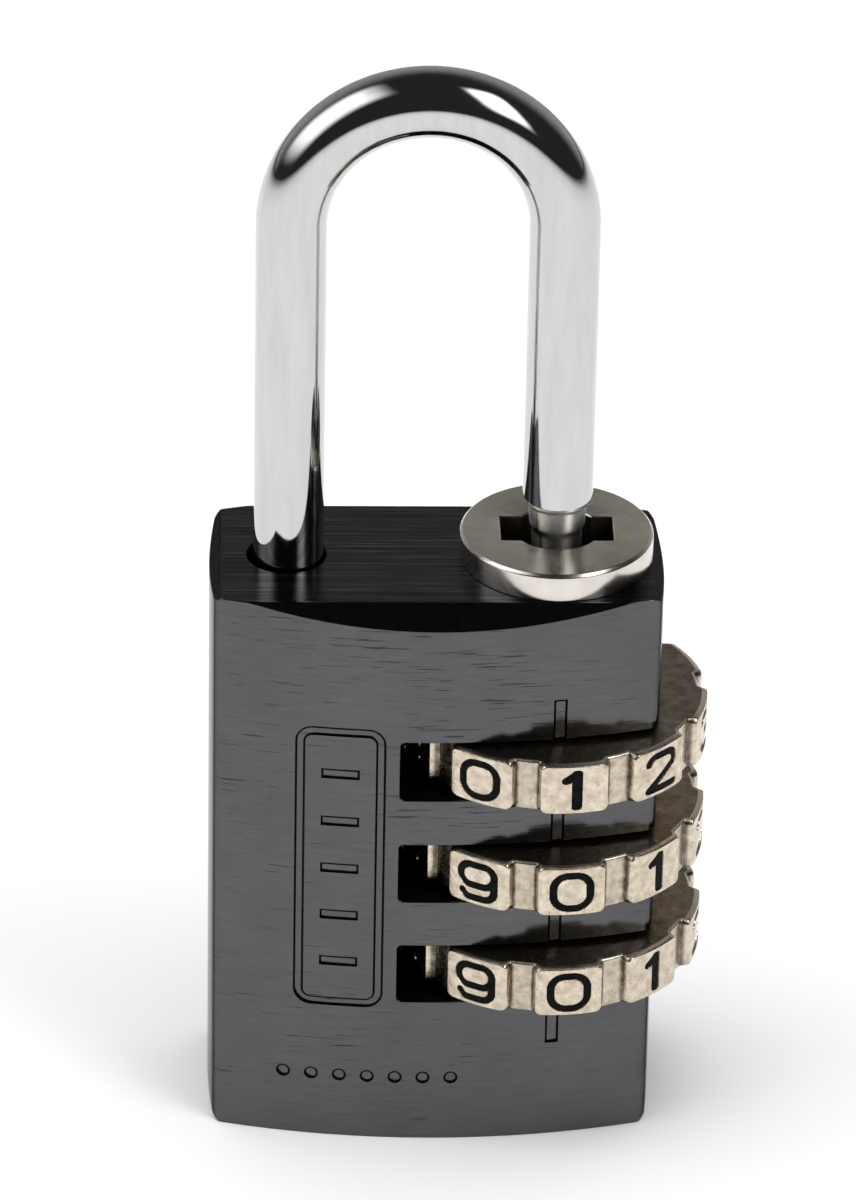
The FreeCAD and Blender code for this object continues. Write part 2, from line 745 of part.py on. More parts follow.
def make_clutch(name, slot):
    """Sleeve in a dial: tabs join it to the dial, and its keyed web lets the lugs past or not."""
    body = new_body("clutch_" + name)
    profile = new_sketch(body, "XZ")
    add_outline(profile, [("0", "clutch_bottom"), ("clutch_radius", "clutch_bottom"),
                          ("clutch_radius", "collar_bottom"), ("collar_radius", "collar_bottom"),
                          ("collar_radius", "collar_top"), ("clutch_radius", "collar_top"),
                          ("clutch_radius", "clutch_top"), ("0", "clutch_top")])
    revolve(body, profile)
    tabs = new_sketch(body, "XY", "tab_bottom")
    reach = "sqrt(tab_radius^2 - tab_width^2 / 4)"
    corner = "tab_width / 2"
    add_outline(tabs, [("-" + reach, "-" + corner), (reach, "-" + corner),
                       (reach, corner), ("-" + reach, corner)],
                {1: ("tab_radius", 1), 3: ("tab_radius", 1)})
    pad(body, tabs, "tab_top - tab_bottom")
    bore_hole(body, "0", "0", "clutch_chamber_radius", "clutch_bottom",
              "clutch_web_bottom - clutch_bottom", upward=True)
    keyhole = new_sketch(body, "XY", "clutch_top")
    add_keyhole(keyhole, "clutch_round_radius")
    pocket(body, keyhole)
    place(body, "axis_x", "0", slot_middle(slot))
    keep(body, "clutch_" + name)


def make_spring(name, coil_radius, turns, seat):
    """Coil on the bore's floor, under a seat."""
    height = "(%s - bore_floor - 2 * spring_gap - 2 * wire_radius)" % seat
    helix = doc.addObject("Part::Helix", name + "_line")
    bind(helix, "Radius", coil_radius)
    bind(helix, "Height", height)
    bind(helix, "Pitch", "%s / %s" % (height, turns))
    helix.SegmentLength = 1
    section = doc.addObject("Part::Circle", name + "_wire")
    bind(section, "Radius", "wire_radius")
    section.Placement.Rotation = Rotation(Vector(1, 0, 0), 90)
    place(section, coil_radius, "0", "0")
    coil = doc.addObject("Part::Sweep", name)
    coil.Sections = [section]
    coil.Spine = (helix, [])
    coil.Solid = True
    coil.Frenet = True
    place(coil, "axis_x", "0", "bore_floor + spring_gap + wire_radius")
    keep(coil, name)


def make_washer_cup_and_springs():
    washer = tube("clutch_washer", "washer_radius", "washer_bore", "washer_top - washer_bottom",
                  "axis_x", "0", "washer_bottom")
    keep(washer, "clutch_washer")
    cup = tube("spring_cup", "cup_radius", "cup_bore", "cup_height", "axis_x", "0", "cup_bottom")
    keep(cup, "spring_cup")
    make_spring("clutch_spring", "clutch_coil_radius", "clutch_coil_turns", "washer_bottom")
    make_spring("shackle_spring", "shackle_coil_radius", "shackle_coil_turns", "cup_bottom")


def make_retaining_clip():
    """Open ring in the stem's groove: it meets the bush's web at the end of the lift."""
    body = new_body("retaining_clip")
    ring = new_sketch(body, "XY", "clip_bottom")
    add_circle(ring, "0", "0", "clip_radius")
    add_circle(ring, "0", "0", "clip_groove_radius + clip_groove_gap")
    pad(body, ring, "clip_height")
    mouth = new_sketch(body, "XY", "clip_bottom")
    add_rectangle(mouth, "-clip_mouth / 2", "0", "clip_mouth / 2", "clip_radius + clip_mouth")
    pocket(body, mouth, "clip_height", upward=True)
    place(body, "axis_x", "0", "0")
    keep(body, "retaining_clip")


# ---------------------------------------------------------------- shackle

def make_shackle():
    """One bent rod: long leg, bow and short leg, with a turned stem and its lugs under the long leg."""
    bow_radius = "((axis_x - short_leg_x) / 2)"
    bow_height = "(bow_top - %s)" % bow_radius
    groove_top = "clip_bottom + clip_height + clip_groove_gap"

    bow = doc.addObject("Part::Torus", "bow_ring")
    bind(bow, "Radius1", bow_radius)
    bind(bow, "Radius2", "rod_radius")
    bow.Angle3 = 180
    bow.Placement.Rotation = Rotation(Vector(1, 0, 0), 90)
    place(bow, "(axis_x + short_leg_x) / 2", "0", bow_height)

    long_leg = cylinder("long_leg", "rod_radius", bow_height + " - shoulder_top",
                        "axis_x", "0", "shoulder_top")
    shoulder = doc.addObject("Part::Cone", "shoulder")
    bind(shoulder, "Radius1", "stem_radius")
    bind(shoulder, "Radius2", "rod_radius")
    bind(shoulder, "Height", "shoulder_top - shoulder_bottom")
    place(shoulder, "axis_x", "0", "shoulder_bottom")
    short_leg = cylinder("short_leg", "rod_radius", bow_height + " - short_leg_end - leg_end_chamfer",
                         "short_leg_x", "0", "short_leg_end + leg_end_chamfer")
    short_end = doc.addObject("Part::Cone", "short_leg_tip")
    bind(short_end, "Radius1", "rod_radius - leg_end_chamfer")
    bind(short_end, "Radius2", "rod_radius")
    bind(short_end, "Height", "leg_end_chamfer")
    place(short_end, "short_leg_x", "0", "short_leg_end")

    stem_top = cylinder("stem_top", "stem_radius", "shoulder_bottom - (%s)" % groove_top,
                        "axis_x", "0", groove_top)
    groove = cylinder("clip_groove", "clip_groove_radius", "clip_height + 2 * clip_groove_gap",
                      "axis_x", "0", "clip_bottom - clip_groove_gap")
    stem = cylinder("stem", "stem_radius", "clip_bottom - clip_groove_gap - stem_end",
                    "axis_x", "0", "stem_end")
    tip = cylinder("stem_tip", "tip_radius", "stem_end - tip_end", "axis_x", "0", "tip_end")
    rivet = cylinder("stem_rivet", "rivet_radius", "rivet_top - tip_end", "axis_x", "0", "tip_end")
    parts = [bow, long_leg, shoulder, short_leg, short_end, stem_top, groove, stem, tip, rivet]

    for name, slot, _ in DIALS:
        bottom = slot_middle(slot) + " + lug_bottom"
        height = "lug_top - lug_bottom"
        disc = cylinder("lug_disc_" + name, "lug_radius", height, "axis_x", "0", bottom)
        bar = box("lug_bar_" + name, "2 * lug_radius", "lug_width", height,
                  "axis_x - lug_radius", "-lug_width / 2", bottom)
        parts.append(boolean("Common", "lug_" + name, disc, bar))
    keep(boolean("Fuse", "shackle", *parts), "shackle")


# ---------------------------------------------------------------- detent

def make_detent_leaf():
    """Upright leaf with three waves that rest in the dials' grip grooves."""
    body = new_body("detent_leaf")
    sketch = new_sketch(body, "XZ", "-leaf_width / 2")
    resting, reaching = "leaf_x", "-leaf_reach - leaf_thickness"
    line = [(resting, "leaf_bottom")]
    for slot in range(len(DIALS)):
        for x, shift in ((resting, "- wave_foot"), (reaching, "- wave_crest"),
                         (reaching, "+ wave_crest"), (resting, "+ wave_foot")):
            line.append((x, "%s %s" % (slot_middle(slot), shift)))
    line.append((resting, "leaf_top"))
    other_face = [(x + " + leaf_thickness", z) for x, z in line]
    add_outline(sketch, other_face + line[::-1])
    pad(body, sketch, "leaf_width")
    place(body, "0", "detent_y", "0")
    keep(body, "detent_leaf")


def make_detent_plug():
    plug = cylinder("detent_plug", "detent_bore - plug_gap", "plug_height",
                    "detent_x", "detent_y", "0")
    keep(plug, "detent_plug")


# ---------------------------------------------------------------- build, test and write

make_lock_body()
make_top_bush()
make_bush_pin()
make_dials()
for dial_name, slot_number, _ in DIALS:
    make_clutch(dial_name, slot_number)
make_washer_cup_and_springs()
make_retaining_clip()
make_shackle()
make_detent_leaf()
make_detent_plug()
doc.recompute()

for item in doc.Objects:
    if "Invalid" in item.State or "Error" in item.State:
        raise ValueError("failed: " + item.Name)
os.makedirs("parts", exist_ok=True)
for item in FINISHED:
    if item.Shape.isNull() or not item.Shape.isValid():
        raise ValueError("bad shape: " + item.Label)
for item in FINISHED:
    item.Shape.exportStep(os.path.join("parts", item.Label + ".step"))
    print("%-18s %8.2f mm3 %2d solids" % (item.Label, item.Shape.Volume, len(item.Shape.Solids)))
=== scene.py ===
import math

import bmesh
import bpy
import numpy as np
from mathutils import Matrix, Vector


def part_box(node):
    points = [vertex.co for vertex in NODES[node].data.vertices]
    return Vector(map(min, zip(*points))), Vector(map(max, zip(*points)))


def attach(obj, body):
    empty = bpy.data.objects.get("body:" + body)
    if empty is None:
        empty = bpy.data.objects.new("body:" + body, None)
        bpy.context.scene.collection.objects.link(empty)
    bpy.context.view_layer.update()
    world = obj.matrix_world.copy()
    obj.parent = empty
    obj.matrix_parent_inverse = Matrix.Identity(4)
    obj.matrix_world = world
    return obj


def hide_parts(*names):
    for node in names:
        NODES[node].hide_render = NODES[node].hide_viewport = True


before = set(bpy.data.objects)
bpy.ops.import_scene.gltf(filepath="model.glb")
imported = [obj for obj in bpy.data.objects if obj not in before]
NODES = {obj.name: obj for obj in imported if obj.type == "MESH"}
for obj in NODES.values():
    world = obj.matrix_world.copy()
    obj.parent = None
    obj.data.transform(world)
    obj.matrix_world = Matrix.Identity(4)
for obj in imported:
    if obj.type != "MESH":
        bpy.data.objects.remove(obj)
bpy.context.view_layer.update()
MM = 0.001

DIALS = ("top", "middle", "bottom")


def middle(node):
    low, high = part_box(node)
    return (low + high) / 2


# Where things are, from the frame, in metres
BODY_LOW, BODY_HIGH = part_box("lock_body")
BUSH_LOW, BUSH_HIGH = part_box("top_bush")
AXIS_X = middle("clutch_washer").x      # the axis of the dials, the bush and the long leg


# ------------------------------------------------------------------ node trees

class Nodes:
    """Short calls that add nodes to a tree. A value is a number, a colour or another node's output."""

    def __init__(self, tree):
        self.tree = tree

    def feed(self, socket, value):
        if isinstance(value, bpy.types.NodeSocket):
            self.tree.links.new(value, socket)
        elif socket.type == "RGBA":
            grey = isinstance(value, (int, float))
            socket.default_value = (value, value, value, 1) if grey else (*value, 1)
        else:
            socket.default_value = value

    def add(self, kind, inputs=None, **settings):
        made = self.tree.nodes.new(kind)
        for key, value in settings.items():
            setattr(made, key, value)
        for key, value in (inputs or {}).items():
            self.feed(made.inputs[key], value)
        return made

    def ramp(self, value, *stops):
        """Colour ramp through (position, colour or grey) stops."""
        made = self.add("ShaderNodeValToRGB", {"Fac": value})
        band = made.color_ramp
        while len(band.elements) < len(stops):
            band.elements.new(0.5)
        for element, (at, colour) in zip(band.elements, stops):
            element.position = at
            grey = isinstance(colour, (int, float))
            element.color = (colour, colour, colour, 1) if grey else (*colour, 1)
        return made.outputs["Color"]

    def fade(self, value, low, high):
        """0 at low, 1 at high, and a smooth step between them."""
        return self.add("ShaderNodeMapRange", {"Value": value, "From Min": low, "From Max": high},
                        interpolation_type="SMOOTHSTEP").outputs[0]

    def math(self, kind, first, second):
        return self.add("ShaderNodeMath", {0: first, 1: second}, operation=kind).outputs[0]

    def mix(self, share, first, second):
        return self.add("ShaderNodeMix", {"Factor": share, 6: first, 7: second},
                        data_type="RGBA").outputs[2]


class Material(Nodes):
    """A material of one principled shader."""

    def __init__(self, name):
        self.material = bpy.data.materials.new(name)
        self.material.use_nodes = True
        super().__init__(self.material.node_tree)
        self.shader = self.tree.nodes["Principled BSDF"]
        self.normal = None

    def give(self, socket, value):
        self.feed(self.shader.inputs[socket], value)

    def place(self, per_mm=(1, 1, 1), shift=(0, 0, 0)):
        """The piece's own coordinates in mm, times per_mm, moved by shift."""
        source = self.add("ShaderNodeTexCoord").outputs["Object"]
        scale = tuple(value / MM for value in per_mm)
        return self.add("ShaderNodeMapping",
                        {"Vector": source, "Scale": scale, "Location": shift}).outputs[0]

    def noise(self, per_mm, detail=2.0, roughness=0.5, shift=(0, 0, 0)):
        """Noise whose grains are about 1 mm divided by per_mm."""
        return self.add("ShaderNodeTexNoise",
                        {"Vector": self.place(per_mm, shift), "Scale": 1.0, "Detail": detail,
                         "Roughness": roughness}).outputs["Fac"]

    def bump(self, height, depth_mm):
        """Adds a bump on top of those already given."""
        inputs = {"Height": height, "Distance": depth_mm * MM}
        if self.normal is not None:
            inputs["Normal"] = self.normal
        self.normal = self.add("ShaderNodeBump", inputs).outputs[0]
        self.give("Normal", self.normal)


def metal(name):
    made = Material(name)
    made.give("Metallic", 1.0)
    return made


# ------------------------------------------------------------------ camera, floor and light

def look_at(name, data, place, target, roll=0.0):
    """Adds an object at a place, with its -Z axis towards the target."""
    item = bpy.data.objects.new(name, data)
    bpy.context.scene.collection.objects.link(item)
    turn = (Vector(target) - Vector(place)).to_track_quat("-Z", "Y").to_matrix().to_4x4()
    item.matrix_world = Matrix.Translation(place) @ turn @ Matrix.Rotation(roll, 4, "Z")
    return item


def add_camera():
    """A long lens, a little to the left of the front and 30 degrees up."""
    azimuth, elevation, roll = 0.0332, 0.5177, 0.0193       # radians
    distance = 348.3 * MM
    target = Vector((-0.27, 2.1, 23.66)) * MM
    out = Vector((-math.sin(azimuth) * math.cos(elevation),
                  -math.cos(azimuth) * math.cos(elevation), math.sin(elevation)))
    data = bpy.data.cameras.new("camera")
    data.lens = 235.4
    data.sensor_width = 36.0
    data.clip_start = 0.01
    data.clip_end = 20.0
    camera = look_at("camera", data, target + out * distance, target, roll)
    bpy.context.scene.camera = camera


def softbox(name, direction, distance, size, power, soft, roll=0.0):
    """A window of light towards the object, which fades over the outer part of its width and height.

    soft is that part's share on each side."""
    data = bpy.data.lights.new(name, "AREA")
    data.shape = "RECTANGLE"
    data.size, data.size_y = size
    data.energy = power
    data.use_nodes = True
    nodes = Nodes(data.node_tree)
    place = nodes.add("ShaderNodeNewGeometry").outputs["Parametric"]
    parts = nodes.add("ShaderNodeSeparateXYZ", {0: place}).outputs
    fades = [nodes.fade(parts[axis], outer, inner)
             for axis in ("X", "Y") for outer, inner in ((0.0, soft), (1.0, 1.0 - soft))]
    total = fades[0]
    for fade in fades[1:]:
        total = nodes.math("MULTIPLY", total, fade)
    nodes.feed(nodes.tree.nodes["Emission"].inputs["Strength"], total)
    way = Vector(direction).normalized()
    target = Vector((0, 0, 0.03))
    return look_at(name, data, target + way * distance, target, roll)


def add_room():
    """A dark room whose back wall is lit low down. The camera itself sees a pale backdrop."""
    world = bpy.data.worlds.new("room")
    world.use_nodes = True
    nodes = Nodes(world.node_tree)
    way = nodes.add("ShaderNodeTexCoord").outputs["Generated"]
    parts = nodes.add("ShaderNodeSeparateXYZ", {0: way}).outputs
    greys = ((0.0, 0.40), (0.42, 0.31), (0.57, 0.24), (0.71, 0.13), (0.82, 0.05), (0.9, 0.03))
    wall = nodes.ramp(parts["Z"], *[(height, (grey, grey * 0.985, grey * 0.96)) for height, grey in greys])
    behind = nodes.fade(parts["Y"], 0.1, 0.75)
    room = nodes.mix(behind, (0.025, 0.025, 0.026), wall)
    by_camera = nodes.add("ShaderNodeLightPath").outputs["Is Camera Ray"]
    nodes.feed(nodes.tree.nodes["Background"].inputs["Color"], nodes.mix(by_camera, room, 0.9))
    bpy.context.scene.world = world


def add_floor():
    """A pale sheet of paper with painted shade: its colour darkens towards its far part."""
    half_width = 1.6
    mesh = bpy.data.meshes.new("floor")
    form = bmesh.new()
    bmesh.ops.create_grid(form, x_segments=8, y_segments=8, size=half_width)
    form.to_mesh(mesh)
    form.free()
    floor = bpy.data.objects.new("floor", mesh)
    bpy.context.scene.collection.objects.link(floor)
    paper = Material("paper")
    place = paper.add("ShaderNodeTexCoord").outputs["Object"]
    distance = paper.add("ShaderNodeVectorMath", {0: place}, operation="LENGTH").outputs["Value"]
    share = paper.math("DIVIDE", distance, half_width)
    paper.give("Base Color", paper.ramp(share, (0.09, 0.9), (0.2, 0.72), (0.4, 0.28), (0.9, 0.03)))
    paper.give("Roughness", 0.9)
    paper.give("Specular IOR Level", 0.1)
    mesh.materials.append(paper.material)


def add_studio():
    """A wide softbox on the left, a narrow one on the right, and a fill that isn't reflected."""
    add_room()
    add_floor()
    softbox("softbox_left", direction=(-0.77, -0.11, 0.63), distance=1.0, size=(1.35, 1.35),
            power=10.5, soft=0.33)
    softbox("softbox_right", direction=(0.54, -0.454, 0.708), distance=1.0, size=(1.15, 0.48),
            power=7.5, soft=0.35, roll=1.05)
    fill = softbox("table_fill", direction=(0, 0, 1), distance=1.3, size=(1.6, 1.6),
                   power=20.5, soft=0.01)
    fill.visible_glossy = False
    bpy.context.scene.view_settings.view_transform = "Standard"


# ------------------------------------------------------------------ materials

def anodised_face():
    """Dark anodised face brushed across, with short dark scratches, most of them at the upper left."""
    made = metal("anodised_face")
    dashes = made.noise((0.5, 0.5, 13.0), 2.0, 0.55)
    patches = made.noise((0.11, 0.11, 0.11), 1.0, shift=(1.3, 0, 0.9))
    sparse = made.math("ADD", dashes, made.math("MULTIPLY", made.math("SUBTRACT", patches, 0.47), 0.35))
    to_upper_left = made.add("ShaderNodeVectorMath", {0: made.place(), 1: (-0.02, 0.0, 0.03)},
                             operation="DOT_PRODUCT").outputs["Value"]
    sparse = made.math("ADD", sparse, made.ramp(to_upper_left, (0.05, 0.085), (0.85, 0.0)))
    mask = made.ramp(sparse, (0.32, 0.0), (0.39, 1.0))
    grain = made.noise((0.7, 0.7, 9.0), 4.0, 0.65, shift=(4, 1, 0))
    cloud = made.noise((0.3, 0.3, 0.4), 3.0)
    tint = made.ramp(grain, (0.25, (0.094, 0.094, 0.098)), (0.75, (0.118, 0.118, 0.122)))
    tint = made.mix(made.ramp(cloud, (0.35, 0.14), (0.65, 0.0)), tint, (0.05, 0.05, 0.054))
    made.give("Base Color", made.mix(mask, (0.035, 0.035, 0.038), tint))
    made.give("Specular Tint", (0.35, 0.35, 0.36))
    made.give("Roughness", made.ramp(grain, (0.2, 0.10), (0.8, 0.16)))
    made.bump(grain, 0.0035)
    return made.material


def anodised_top():
    """Sawn and anodised end: fine straight lines along X."""
    made = metal("anodised_top")
    lines = made.noise((0.16, 7.0, 0.16), 4.0, 0.7)
    tint = made.ramp(lines, (0.35, (0.016, 0.016, 0.018)), (0.55, (0.048, 0.049, 0.053)),
                     (0.72, (0.16, 0.163, 0.175)))
    made.give("Base Color", tint)
    made.give("Roughness", made.ramp(lines, (0.3, 0.12), (0.7, 0.24)))
    made.bump(lines, 0.008)
    return made.material


def anodised_plain():
    """Milled slopes and broken edges: smooth and dark, with faint cutter marks."""
    made = metal("anodised_plain")
    marks = made.noise((3.0, 3.0, 3.0), 3.0, 0.6)
    made.give("Base Color", made.ramp(marks, (0.3, (0.080, 0.080, 0.083)), (0.7, (0.100, 0.100, 0.104))))
    made.give("Specular Tint", (0.35, 0.35, 0.36))
    made.give("Roughness", made.ramp(marks, (0.3, 0.11), (0.7, 0.15)))
    made.bump(marks, 0.002)
    return made.material


def engraved_wall():
    """The steep sides of the engraving: near black, painted shade."""
    made = metal("engraved_wall")
    specks = made.noise((9, 9, 9), 2.0)
    made.give("Base Color", made.ramp(specks, (0.35, 0.008), (0.7, 0.03)))
    made.give("Roughness", made.ramp(specks, (0.35, 0.3), (0.7, 0.5)))
    return made.material


def slot_wall():
    """Slots and bores: black anodised, darkened further as painted shade, with no shine left by the
    cutter.
    """
    made = metal("slot_wall")
    marks = made.noise((3.0, 3.0, 1.5), 3.0, 0.6)
    made.give("Base Color", made.ramp(marks, (0.3, (0.011, 0.0105, 0.010)), (0.7, (0.020, 0.019, 0.018))))
    made.give("Roughness", made.ramp(marks, (0.3, 0.48), (0.7, 0.6)))
    made.bump(marks, 0.002)
    return made.material


def chrome():
    """Polished plate with the faintest ripple, and faint streaks along its legs."""
    made = metal("chrome")
    ripple = made.noise((0.8, 0.8, 0.5), 2.0)
    smears = made.noise((2.2, 2.2, 0.25), 4.0, 0.6)
    made.give("Base Color", made.ramp(smears, (0.3, (0.540, 0.540, 0.543)), (0.7, (0.612, 0.612, 0.612))))
    made.give("Roughness", made.ramp(smears, (0.35, 0.05), (0.75, 0.09)))
    made.bump(ripple, 0.004)
    return made.material


def cast_nickel():
    """Nickel on a die-cast rim: warm, mottled and stained brown in places, with grime and painted shade in
    its grooves, paint in its digit channels, and wear with a painted highlight on its rounded edges.
    """
    made = metal("cast_nickel")
    mottle = made.noise((2.2, 2.2, 2.2), 5.0, 0.62)
    stain = made.noise((0.7, 0.7, 0.7), 4.0, 0.6, shift=(3, 1, 2))
    pits = made.noise((11, 11, 11), 2.0, 0.5)
    base = made.ramp(mottle, (0.32, (0.49, 0.41, 0.31)), (0.66, (0.74, 0.655, 0.535)))
    brown = made.ramp(stain, (0.60, 0.0), (0.78, 0.55))
    coloured = made.mix(brown, base, (0.42, 0.30, 0.18))
    pitted = made.mix(made.ramp(pits, (0.26, 1.0), (0.34, 0.0)), coloured, (0.16, 0.14, 0.12))
    # Grime, paint and painted shade from the dial's attribute: dark brown in the grooves and the digits'
    # channels.
    grime_paint_and_shade = made.add("ShaderNodeAttribute", attribute_name="grime_paint_and_shade").outputs["Fac"]
    patchy = made.math("MULTIPLY", grime_paint_and_shade, made.ramp(mottle, (0.3, 1.0), (0.75, 0.62)))
    darkened = made.mix(patchy, pitted, (0.055, 0.045, 0.035))
    # Wear and a painted highlight from the dial's attribute: paler, smoother nickel on the rim's rounded
    # edges.
    edge_wear_and_highlight = made.add("ShaderNodeAttribute", attribute_name="edge_wear_and_highlight").outputs["Fac"]
    rubbed_and_highlit = made.math("MULTIPLY", edge_wear_and_highlight, made.ramp(stain, (0.35, 0.35), (0.6, 1.0)))
    made.give("Base Color", made.mix(rubbed_and_highlit, darkened, (0.95, 0.87, 0.74)))
    smooth = made.ramp(mottle, (0.3, 0.32), (0.7, 0.16))
    made.give("Roughness", made.mix(rubbed_and_highlit, smooth, 0.36))
    made.bump(mottle, 0.02)
    made.bump(pits, 0.008)
    return made.material


def cast_nickel_flat():
    """The dials' flat sides: duller and darker than the rim."""
    made = metal("cast_nickel_flat")
    mottle = made.noise((1.8, 1.8, 1.8), 6.0, 0.65, shift=(5, 2, 0))
    stain = made.noise((0.5, 0.5, 0.5), 3.0, 0.6)
    base = made.ramp(mottle, (0.3, (0.155, 0.13, 0.095)), (0.5, (0.285, 0.24, 0.185)),
                     (0.72, (0.42, 0.355, 0.28)))
    made.give("Base Color", made.mix(made.ramp(stain, (0.5, 0.0), (0.8, 0.5)), base, (0.24, 0.18, 0.11)))
    made.give("Roughness", made.ramp(mottle, (0.3, 0.42), (0.7, 0.24)))
    made.bump(mottle, 0.02)
    return made.material


def black_paint():
    """Thick paint, slightly uneven and with little shine."""
    made = Material("black_paint")
    made.give("Specular IOR Level", 0.04)
    lumps = made.noise((3, 3, 3), 2.0)
    made.give("Base Color", made.ramp(lumps, (0.3, 0.003), (0.7, 0.010)))
    made.give("Roughness", made.ramp(lumps, (0.3, 0.2), (0.7, 0.4)))
    made.bump(lumps, 0.01)
    return made.material


def turned_nickel(name, dark, light, roughness, ring_depth=0.001, anisotropy=0.0):
    """Nickel with fine turned rings about the long leg's axis, ring_depth in mm."""
    made = metal(name)
    made.give("Anisotropic", anisotropy)
    made.give("Anisotropic Rotation", 0.25)
    tangent = made.add("ShaderNodeTangent", direction_type="RADIAL", axis="Z").outputs[0]
    made.give("Tangent", tangent)
    shift = (-AXIS_X / MM, 0, 0)
    lines = made.add("ShaderNodeTexWave",
                     {"Vector": made.place((1, 1, 0.0), shift=shift), "Scale": 3.4, "Distortion": 0.6,
                      "Detail": 2.0, "Detail Scale": 2.0},
                     wave_type="RINGS", rings_direction="SPHERICAL").outputs["Fac"]
    haze = made.noise((1.1, 1.1, 1.1), 4.0, 0.6)
    made.give("Base Color", made.ramp(haze, (0.3, dark), (0.7, light)))
    made.give("Roughness", made.ramp(haze, (0.3, roughness), (0.7, roughness + 0.08)))
    made.bump(lines, ring_depth)
    made.bump(haze, 0.006)
    return made.material


def plain_metal(name, dark, light, roughness):
    """Small inner parts: machined metal with a soft mottle."""
    made = metal(name)
    haze = made.noise((2.4, 2.4, 2.4), 4.0, 0.6)
    made.give("Base Color", made.ramp(haze, (0.3, dark), (0.7, light)))
    made.give("Roughness", made.ramp(haze, (0.3, roughness), (0.7, roughness + 0.12)))
    made.bump(haze, 0.004)
    return made.material


def dress(node, material):
    """Gives a CAD node its material."""
    slots = NODES[node].data.materials
    slots.clear()
    slots.append(material)


# ------------------------------------------------------------------ mesh helpers

def link_mesh(name, mesh, body, *materials):
    """Makes the piece, in metres in the frame's axes, and puts it on its CAD body."""
    piece = bpy.data.objects.new(name, mesh)
    bpy.context.scene.collection.objects.link(piece)
    for material in materials:
        mesh.materials.append(material)
    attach(piece, body)
    return piece


def loop_grid(name, points, zones, close_rows=True, sharp=30):
    """Quads through points[row, column] in mm. Columns close on themselves, and so may the rows.

    Open rows end in flat caps. zones gives the material's place for each row of faces. Edges that
    turn by more than sharp degrees stay sharp."""
    rows, columns = points.shape[:2]
    steps = rows if close_rows else rows - 1
    faces = []
    for row in range(steps):
        low, high = row * columns, (row + 1) % rows * columns
        for column in range(columns):
            after = (column + 1) % columns
            faces.append((low + column, low + after, high + after, high + column))
    if not close_rows:
        faces.append(tuple(range(columns))[::-1])
        faces.append(tuple(range((rows - 1) * columns, rows * columns)))
    mesh = bpy.data.meshes.new(name)
    mesh.from_pydata((points.reshape(-1, 3) * MM).tolist(), [], faces)
    caps = [] if close_rows else [zones[0], zones[-1]]
    places = np.concatenate([np.repeat(zones, columns), caps]).astype(int)
    mesh.polygons.foreach_set("material_index", places)
    mesh.polygons.foreach_set("use_smooth", [True] * len(mesh.polygons))
    mesh.set_sharp_from_angle(angle=math.radians(sharp))
    face_outward(mesh)
    return mesh


def face_outward(mesh):
    form = bmesh.new()
    form.from_mesh(mesh)
    bmesh.ops.recalc_face_normals(form, faces=form.faces)
    form.to_mesh(mesh)
    form.free()


def ease(value, low, high):
    """0 below low, 1 above high, and a smooth step between them."""
    share = np.clip((value - low) / (high - low), 0, 1)
    return share * share * (3 - 2 * share)


def rounded(profile, radius):
    """Replaces each corner of an open (r, z) profile by an arc that cuts it by the given radius."""
    made = [profile[0]]
    for before, corner, after in zip(profile, profile[1:], profile[2:]):
        before, corner, after = np.array(before), np.array(corner), np.array(after)
        into, out = corner - before, after - corner
        cut = min(radius, 0.45 * np.linalg.norm(into), 0.45 * np.linalg.norm(out))
        first = corner - into / np.linalg.norm(into) * cut
        last = corner + out / np.linalg.norm(out) * cut
        for share in (0, 0.25, 0.5, 0.75, 1):
            made.append(tuple((1 - share) ** 2 * first + 2 * share * (1 - share) * corner
                              + share ** 2 * last))
    made.append(profile[-1])
    return made


# ------------------------------------------------------------------ dials

PAD_ANGLE = 36.0                    # ten pads round a dial, in degrees
DIAL_TURN = 6.5                     # how far the front pad stands to the right, in degrees
DIAL_RADIUS = 6.892                 # mm, as every size below
DIAL_BORE = 2.975
DIAL_RELIEF = 3.45
NOTCH_RADIUS, NOTCH_WIDTH = 3.35, 1.1
NOTCH_FLOOR = 0.45                  # above the dial's middle
RIM_EDGE = 0.13                     # radius of the edge between the rim and a flat side
SIDE_RINGS = (0.12, 0.5)            # how far in from the rim the flat sides have a ring of points
GROOVE_DEPTH = 0.38
GROOVE_WALL = (-0.10, 0.16)         # a groove's wall falls between these distances from its line
PAD_HALF_ARC = 1.56                 # along the rim, from the pad's middle to the middle of its wall
PAD_CORNER = 0.34
DIGIT_HALF = 0.83                   # half height of a digit's centre line
CHANNEL_DEPTH = 0.2
CHANNEL_WALL = (0.135, 0.17)        # a digit's wall rises between these distances from its line
FRONT_DIGIT = {"top": 1, "middle": 0, "bottom": 0}
COLUMNS_PER_PAD = 116
RIM_ROWS = 64


def line(x1, z1, x2, z2):
    return ("line", x1, z1, x2, z2)


def arc(x, z, radius, start, sweep):
    return ("arc", x, z, radius, start, sweep)


def rounded_loop(x, z, wide, high, radius):
    """Closed oval or rounded square, as half width, half height and corner radius."""
    side, rise = wide - radius, high - radius
    strokes = [arc(x + across * side, z + along * rise, radius, 90 * turn, 90)
               for turn, (across, along) in enumerate(((1, 1), (-1, 1), (-1, -1), (1, -1)))]
    strokes += [line(x - side, z + edge, x + side, z + edge) for edge in (-high, high)]
    strokes += [line(x + edge, z - rise, x + edge, z + rise) for edge in (-wide, wide)]
    return strokes


